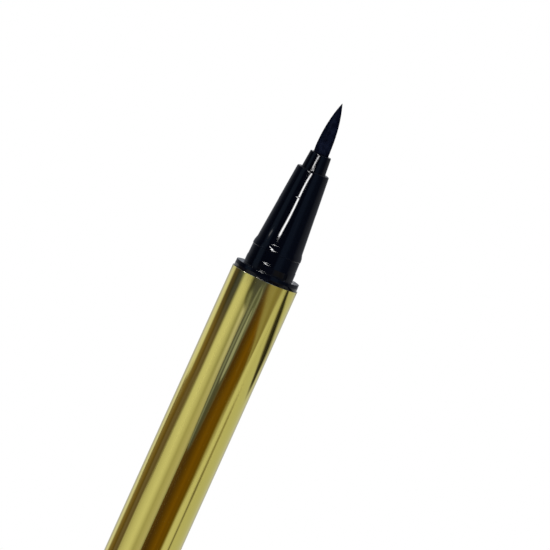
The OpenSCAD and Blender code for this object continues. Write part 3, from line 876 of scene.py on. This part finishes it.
def bendCard(card, rows, levelOf, reach, radius):
    last = len(rows) - 1
    for corner in card.data.vertices:
        across, up = (corner.co.x + 1) / 2, (corner.co.y + 1) / 2 * last
        k = min(int(up), last - 1)
        around = rows[max(k - 1, 0)], rows[k], rows[k + 1], rows[min(k + 2, last)]
        height, left, right = smoothRow(*around, up - k)
        share = max(-1, min(1, left + (right - left) * across))
        bearing = 2 * math.asin(share) - math.asin(radius * share / reach)
        corner.co = (reach * mm * math.sin(bearing), -reach * mm * math.cos(bearing), levelOf(height, share))


def cardMaterial(name, ends, tones, highTones, turn, strength, levelOf, fades):
    material = bpy.data.materials.new(name)
    material.use_nodes = True
    tree = material.node_tree
    tree.nodes.clear()
    place = addNode(tree, "TexCoord").outputs
    across = addNode(tree, "SeparateXYZ", {"Vector": place["UV"]}).outputs["X"]
    level = addNode(tree, "SeparateXYZ", {"Vector": place["Object"]}).outputs["Z"]

    def climb(low, high):
        values = {"Value": level, "From Min": levelOf(low), "From Max": levelOf(high)}
        return addNode(tree, "MapRange", values, interpolation_type="SMOOTHSTEP").outputs[0]

    def toneRamp(stops):
        ramp = addNode(tree, "ValToRGB", {"Fac": across})
        elements = ramp.color_ramp.elements
        while len(elements) < len(stops):
            elements.new(0.5)
        for element, (position, colour, *cover) in zip(elements, stops):
            element.position, element.color = position, (*colour, *(cover or [1]))
        return ramp.outputs

    shown = toneRamp(tones)
    colour, cover = shown["Color"], shown["Alpha"]
    if highTones:
        other, share = toneRamp(highTones), climb(*turn)
        colour = blend(tree, share, colour, other["Color"])
        cover = addNode(tree, "Mix", {0: share, 2: cover, 3: other["Alpha"]}).outputs[0]
    low, high = ends
    for fade, edge, inner in ((fades[0], low, low + fades[0]), (fades[1], high, high - fades[1])):
        if fade:
            cover = addMath(tree, "MULTIPLY", cover, climb(edge, inner))
    glow = addNode(tree, "Emission", {"Color": colour, "Strength": strength})
    clear = addNode(tree, "BsdfTransparent")
    mix = addNode(tree, "MixShader", {0: cover, 1: clear.outputs[0], 2: glow.outputs[0]})
    end = addNode(tree, "OutputMaterial")
    tree.links.new(mix.outputs[0], end.inputs["Surface"])
    return material


# A card is laid out by what it does on the pen: rows of (height on the pen, left and right share of the
# radius where its reflection shows). surface is how many degrees the pen's side leans there. Where it is
# None, heights are the card's own. Tones run from left to right as (position, colour, cover), without the
# cover where it is 1. highTones take over between the heights of turn. fades soften the ends, in millimetres.
def hangCard(name, rows, tones, highTones=None, turn=(0, 1), strength=1.0, surface=0, reach=500, radius=5.3,
             fades=(0, 0)):
    def levelOf(height, share=0):
        if surface is None:
            return height * mm
        return (height + reach * math.tan(raySlope(height, share, surface))) * mm

    clearSelection()
    bpy.ops.mesh.primitive_grid_add(x_subdivisions=40, y_subdivisions=8 * (len(rows) - 1), size=2)
    card = bpy.context.object
    card.name = name
    bendCard(card, rows, levelOf, reach, radius)
    ends = rows[0][0], rows[-1][0]
    card.data.materials.append(cardMaterial(name, ends, tones, highTones, turn, strength, levelOf, fades))
    for kind in ("camera", "diffuse", "transmission", "volume_scatter", "shadow"):
        setattr(card, "visible_" + kind, False)


def grey(level):
    return (level, level, level)


white, deep, coolDark, coolLine = grey(1.0), grey(0.02), (0.12, 0.13, 0.19), (0.34, 0.38, 0.58)
brown, khaki, lensEdge = (0.15, 0.085, 0.03), (0.46, 0.41, 0.29), (0.16, 0.14, 0.16)
orange, amber = (0.21, 0.10, 0.005), (0.22, 0.11, 0.005)
dimSky, lowSky, highSky = (0.3, 0.32, 0.36), (0.24, 0.36, 0.57), (0.31, 0.45, 0.63)

# the foot is below the floor's level, so that the bands run to the end of the cap
bandFoot, bandTop = -250, 131.4

# what the gold sees: bands that run the length of the barrel, and rounds of shade under the grip's flange
goldCards = dict(
    leftFlag=dict(
        rows=[(bandFoot, -0.915, -0.60), (85, -0.915, -0.60), (95, -0.915, -0.585), (102, -0.915, -0.595),
              (108, -0.905, -0.555), (113, -0.87, -0.55), (121, -0.875, -0.55), (127.8, -0.89, -0.53),
              (bandTop, -0.895, -0.53)],
        tones=[(0, brown, 0), (0.12, (0.33, 0.25, 0.15)), (0.3, (0.26, 0.17, 0.07)),
               (0.42, (0.17, 0.11, 0.04)), (0.55, (0.24, 0.18, 0.17)), (0.78, (0.19, 0.14, 0.11)),
               (0.86, (0.3, 0.26, 0.22), 0.75), (1, grey(0.5), 0)],
        highTones=[(0, brown, 0), (0.12, (0.15, 0.11, 0.09)), (0.3, (0.12, 0.09, 0.07)),
                   (0.42, (0.06, 0.06, 0.07)), (0.55, (0.09, 0.10, 0.20)), (0.75, (0.10, 0.10, 0.15)),
                   (0.85, grey(0.2), 0.7), (1, grey(0.5), 0)],
        turn=(119, 127)),
    leftWall=dict(
        rows=[(bandFoot, -0.62, -0.40), (bandTop, -0.62, -0.40)],
        tones=[(0, (0.70, 0.67, 0.62)), (0.25, (0.80, 0.79, 0.76)), (0.6, (0.92, 0.92, 0.9)), (1, white)],
        highTones=[(0, grey(0.84)), (0.4, grey(0.94)), (0.6, white), (1, white)],
        turn=(98, 110), reach=520),
    leftFold=dict(
        rows=[(bandFoot, -0.44, -0.04), (95, -0.44, -0.045), (102, -0.44, -0.07), (113, -0.44, -0.09),
              (bandTop, -0.44, -0.09)],
        tones=[(0, white, 0), (0.3, (0.80, 0.79, 0.74)), (0.46, (0.60, 0.58, 0.49)),
               (0.6, (0.66, 0.64, 0.57)), (0.85, (0.74, 0.71, 0.74)), (1, grey(0.4))],
        highTones=[(0, white, 0), (0.3, (0.75, 0.75, 0.72)), (0.5, (0.45, 0.45, 0.38)),
                   (0.72, (0.88, 0.88, 1.15)), (0.85, (0.55, 0.55, 0.7)), (1, (0.2, 0.2, 0.25))],
        turn=(108, 121)),
    rightWall=dict(
        rows=[(bandFoot, 0.46, 0.96), (bandTop, 0.46, 0.96)],
        tones=[(0, (0.9, 0.9, 0.88)), (0.27, (0.90, 0.90, 0.85)), (0.45, (0.80, 0.80, 0.72)),
               (1, (0.76, 0.78, 0.74))],
        reach=520),
    warmFlag=dict(
        rows=[(bandFoot, -0.05, 0.52), (85, -0.05, 0.525), (95, -0.04, 0.54), (102, 0.0, 0.56),
              (108, 0.04, 0.56), (115, 0.08, 0.575), (121, 0.08, 0.585), (127.8, 0.08, 0.63),
              (bandTop, 0.08, 0.66)],
        tones=[(0, brown), (0.16, (0.10, 0.05, 0.02)), (0.32, (0.15, 0.075, 0.01)), (0.44, orange),
               (0.55, (0.26, 0.125, 0.005)), (0.66, orange), (0.75, amber), (0.82, (0.17, 0.09, 0.005)),
               (0.88, (0.28, 0.20, 0.06)), (0.93, (0.6, 0.56, 0.45), 0.8), (1, grey(0.8), 0)]),
    khakiPatch=dict(
        rows=[(117, 0.49, 0.56), (121, 0.45, 0.575), (125, 0.31, 0.595), (127.8, 0.22, 0.60),
              (129.4, 0.14, 0.625), (134, 0.12, 0.65)],
        tones=[(0, orange, 0), (0.25, khaki, 0.9), (0.5, khaki), (0.7, (0.35, 0.30, 0.17)),
               (0.86, (0.36, 0.31, 0.22)), (0.94, (0.6, 0.6, 0.5), 0.6), (1, white, 0)],
        reach=200, fades=(3, 0)),
    archShade=dict(
        rows=[(125.2, -0.12, 0.10), (126.0, -0.24, 0.15), (127.2, -0.315, 0.17), (129.5, -0.345, 0.18),
              (134, -0.36, 0.19)],
        tones=[(0, grey(0.3), 0), (0.12, (0.13, 0.13, 0.09)), (0.3, (0.32, 0.35, 0.45)),
               (0.42, (0.13, 0.14, 0.18)), (0.9, coolDark), (1, brown, 0)],
        highTones=[(0, grey(0.3), 0), (0.16, grey(0.07)), (0.4, (0.10, 0.11, 0.19)), (0.9, coolDark),
                   (1, brown, 0)],
        turn=(128.2, 129.0), reach=80, fades=(1.2, 0)),
    lensRing=dict(
        rows=[(103, -0.02, 0.03), (104.5, -0.06, 0.06), (108, -0.085, 0.09), (113, -0.11, 0.12),
              (120, -0.125, 0.145), (125.5, -0.115, 0.165), (128.2, -0.085, 0.155), (129.5, -0.04, 0.11),
              (130, 0.01, 0.07)],
        tones=[(0, coolDark, 0), (0.1, coolDark), (0.26, coolLine), (0.4, coolDark),
               (0.78, (0.12, 0.11, 0.12)), (0.9, lensEdge), (1, brown, 0)],
        highTones=[(0, coolDark, 0), (0.12, coolDark), (0.27, coolLine), (0.42, (0.15, 0.17, 0.22)),
                   (0.58, (0.16, 0.18, 0.22)), (0.74, coolLine), (0.88, lensEdge), (1, brown, 0)],
        turn=(119, 126), reach=75),
    lensGlow=dict(
        rows=[(114.4, 0.02, 0.05), (115.3, -0.005, 0.075), (118, -0.02, 0.105), (122, -0.015, 0.095),
              (125, 0.01, 0.07), (126.2, 0.03, 0.05)],
        tones=[(0, coolDark, 0), (0.28, (0.5, 0.55, 0.9)), (0.68, (0.46, 0.5, 0.74)), (1, coolDark, 0)],
        reach=70),
    rightWedge=dict(
        rows=[(112, 0.895, 0.915), (114.5, 0.855, 0.935), (117, 0.825, 0.94), (121, 0.755, 0.955),
              (124, 0.72, 0.915), (127.8, 0.69, 0.855), (129.2, 0.69, 0.815), (134, 0.69, 0.72)],
        tones=[(0, brown, 0), (0.3, (0.07, 0.06, 0.05)), (0.7, deep), (1, brown, 0)],
        reach=130, fades=(4, 0)),
    rightFold=dict(
        rows=[(bandFoot, 0.62, 0.71), (90, 0.61, 0.72), (96, 0.60, 0.725), (104, 0.61, 0.71),
              (115, 0.635, 0.69)],
        tones=[(0, white, 0), (0.5, (0.12, 0.09, 0.02)), (1, white, 0)],
        highTones=[(0, white, 0), (0.5, (0.32, 0.28, 0.14)), (1, white, 0)],
        turn=(95, 104), reach=300, fades=(0, 8)),
)
sideEdge = 0.93
edgeTones = [(0, white, 0), (0.5, grey(0.66)), (1, grey(0.6))]

# the same bands nearer and lower, for views from further up, where the floor would hide the others
tableTones = [
    (0, grey(0.66)), (0.035, grey(0.66)), (0.05, (0.33, 0.25, 0.15)), (0.10, (0.20, 0.13, 0.05)),
    (0.18, (0.20, 0.15, 0.13)), (0.215, (0.75, 0.74, 0.7)), (0.30, (0.95, 0.95, 0.93)),
    (0.36, (0.62, 0.60, 0.52)), (0.43, (0.74, 0.71, 0.74)), (0.46, brown), (0.58, orange), (0.72, amber),
    (0.755, (0.88, 0.88, 0.84)), (0.81, (0.85, 0.85, 0.8)), (0.828, (0.4, 0.35, 0.2)),
    (0.85, (0.82, 0.82, 0.75)), (1, (0.78, 0.78, 0.76)),
]
tableCards = dict(foot=0.5, fades=(14, 12), tops=(("nearFlags", 50, 74), ("midFlags", 110, 66)))


def hangGoldCards():
    for name, card in goldCards.items():
        hangCard(name, **card)
    for side in (-1, 1):
        rows = [(height, side * sideEdge, side) for height in (bandFoot, bandTop)]
        hangCard("edge" + str(side), rows, edgeTones)
    for name, reach, top in tableCards["tops"]:
        rows = [(tableCards["foot"], -1, 1), (top, -1, 1)]
        hangCard(name, rows, tableTones, surface=None, reach=reach, fades=tableCards["fades"])


strip = [(0, white, 0), (0.5, white), (1, white, 0)]

# what the black pieces see, from level to high overhead: near darkness, two soft openings and small lights
gripCards = dict(
    gripRoom=dict(
        rows=[(bandTop, -1, 1), (1400, -1, 1)],
        tones=[(0, dimSky), (0.05, dimSky), (0.09, (0.1, 0.11, 0.14)), (0.14, deep), (0.16, deep),
               (0.19, highSky), (0.25, highSky), (0.29, deep), (0.56, deep), (0.59, lowSky), (0.67, lowSky),
               (0.73, (0.08, 0.12, 0.18)), (0.83, (0.06, 0.07, 0.10)), (0.88, (0.36, 0.38, 0.42)),
               (0.94, (0.38, 0.39, 0.43)), (0.97, (0.25, 0.26, 0.29)), (1, (0.3, 0.31, 0.34))]),
    gripStrip=dict(
        rows=[(137.0, -0.25, -0.125), (137.9, -0.24, -0.115), (140.2, -0.20, -0.075), (142.4, -0.18, -0.055),
              (144.7, -0.175, -0.055), (146.2, -0.15, -0.03), (146.9, -0.12, 0.0), (147.8, -0.06, 0.05)],
        tones=strip, strength=110, surface=5.2, reach=150, radius=3.2),
    ferruleStrip=dict(
        rows=[(148.0, -0.225, -0.085), (149.2, -0.215, -0.07), (150.0, -0.18, -0.015), (150.5, -0.14, 0.03)],
        tones=strip, strength=75, surface=5.2, reach=140, radius=1.8),
    glint=dict(
        rows=[(136.5, -0.62, -0.54), (137.4, -0.60, -0.52)],
        tones=strip, strength=9, surface=5.2, reach=150, radius=3.6),
    hookLight=dict(
        rows=[(205, -0.29, -0.18), (240, -0.27, -0.15), (280, -0.27, -0.15), (310, -0.32, -0.2),
              (345, -0.38, -0.28)],
        tones=strip, strength=110, surface=None, reach=480),
    lipLight=dict(
        rows=[(624, -0.787, -0.762), (674, -0.787, -0.762)],
        tones=strip, strength=26, surface=None, reach=480),
)
faceGlow = dict(low=124, high=142, inner=0.985, surface=5.4, reach=470)


def hangGripCards():
    for name, card in gripCards.items():
        hangCard(name, **card)
    for side in (-1, 1):
        rows = [(height, side * faceGlow["inner"], side) for height in (faceGlow["low"], faceGlow["high"])]
        hangCard("faceGlow" + str(side), rows, [(0, white, 0), (0.4, white), (1, white)],
                 surface=faceGlow["surface"], reach=faceGlow["reach"])


makeFloor()
makeWorld()
hangLamps()
hangGoldCards()
hangGripCards()
print("studio set")
